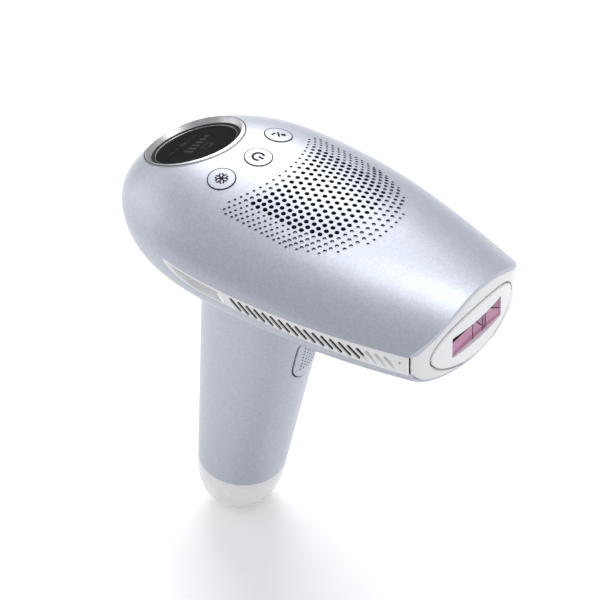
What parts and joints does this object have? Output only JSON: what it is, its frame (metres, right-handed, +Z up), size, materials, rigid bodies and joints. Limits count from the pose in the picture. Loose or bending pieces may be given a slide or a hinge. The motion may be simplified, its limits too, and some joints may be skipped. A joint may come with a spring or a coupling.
{
  "type": "ipl hair remover",
  "caption": "Pistol-shaped pulsed-light hair remover with a flash window, vented rounded head, round display, press keys and a leaning handle with a trigger.",
  "frame": {"origin": "centre of the power inlet's mouth, at the bottom of the handle's end cap", "axes": "+X forward out of the flash window, +Y to the user's left, +Z up; the handle leans back down to the origin"},
  "size_m": [0.1626, 0.0992, 0.1851],
  "materials": {
    "shell_paint": "satin metallic silver-blue paint on moulded ABS",
    "white_plastic": "glossy white moulded plastic",
    "badge_metal": "satin metal leaf",
    "bezel_chrome": "polished plated ring",
    "display_glass": "smoked polished cover",
    "circuit_board": "solder-masked laminate",
    "black_plastic": "black moulded plastic",
    "inner_plastic": "unpainted grey moulding",
    "screw_steel": "zinc plated",
    "spring_steel": "drawn wire",
    "wire_insulation": "soft insulation",
    "capacitor_sleeve": "shrink sleeve over an aluminium can",
    "coil_epoxy": "potted winding",
    "heatsink_aluminium": "extruded",
    "ceramic": "fired ceramic",
    "window_plate": "polished white contact plate",
    "filter_glass": "rose tinted filter glass",
    "reflector_metal": "polished reflector",
    "lamp_glass": "clear quartz tube",
    "contact_brass": "plated contact blades"
  },
  "bodies": {
    "handpiece": {"top_shell": "shell_paint", "lower_shell_left": "shell_paint", "lower_shell_right": "shell_paint", "side_strip_left": "white_plastic", "side_strip_right": "white_plastic", "badge_plate_left": "badge_metal", "badge_plate_right": "badge_metal", "slot_screen_left": "black_plastic", "slot_screen_right": "black_plastic", "side_screws": "screw_steel", "display_bezel": "bezel_chrome", "display_window": "display_glass", "display_board": "circuit_board", "display_screen": "black_plastic", "keypad_board": "circuit_board", "keypad_switches": "black_plastic", "trigger_spring": "spring_steel", "trigger_switch": "black_plastic", "trigger_bracket": "inner_plastic", "handle_end_cap": "white_plastic", "power_inlet": "black_plastic", "inlet_wires": "wire_insulation", "capacitor": "capacitor_sleeve", "capacitor_clip": "inner_plastic", "chassis": "inner_plastic", "main_board": "circuit_board", "board_components": "black_plastic", "ignition_coil": "coil_epoxy", "chassis_screws": "screw_steel", "heatsink": "heatsink_aluminium", "fan_frame": "black_plastic", "cooling_module": "ceramic", "cold_block": "heatsink_aluminium", "cartridge_sockets": "inner_plastic"},
    "cool_key": {"cool_button": "shell_paint"},
    "power_key": {"power_button": "shell_paint"},
    "level_key": {"level_button": "shell_paint"},
    "trigger": {"trigger_button": "shell_paint"},
    "fan": {"fan_rotor": "black_plastic"},
    "cartridge": {"lamp_cap": "white_plastic", "contact_plate": "window_plate", "filter_glass": "filter_glass", "reflector": "reflector_metal", "flash_lamp": "lamp_glass", "lamp_electrodes": "screw_steel", "lamp_holders": "ceramic", "cartridge_housing": "inner_plastic", "cartridge_contacts": "contact_brass"}
  },
  "joints": [
    {"name": "cool_press", "type": "slide", "parent": "handpiece", "child": "cool_key", "axis": [-0.0594, 0.2039, -0.9772], "range_m": [0, 0.0008], "stiffness_N_per_m": 1500, "springref_m": -0.0002},
    {"name": "power_press", "type": "slide", "parent": "handpiece", "child": "power_key", "axis": [-0.0808, 0, -0.9967], "range_m": [0, 0.0008], "stiffness_N_per_m": 1500, "springref_m": -0.0002},
    {"name": "level_press", "type": "slide", "parent": "handpiece", "child": "level_key", "axis": [-0.0594, -0.2039, -0.9772], "range_m": [0, 0.0008], "stiffness_N_per_m": 1500, "springref_m": -0.0002},
    {"name": "trigger_pull", "type": "slide", "parent": "handpiece", "child": "trigger", "axis": [-0.9878, 0, 0.1554], "range_m": [0, 0.002], "stiffness_N_per_m": 900, "springref_m": -0.0005, "deforming": ["trigger_spring"]},
    {"name": "fan_spin", "type": "hinge", "parent": "handpiece", "child": "fan", "pos_m": [0.05007, 0, 0.16411], "axis": [0, 0, 1], "continuous": true},
    {"name": "cartridge_pull", "type": "slide", "parent": "handpiece", "child": "cartridge", "axis": [1, 0, 0], "range_m": [0, 0.04]}
  ]
}
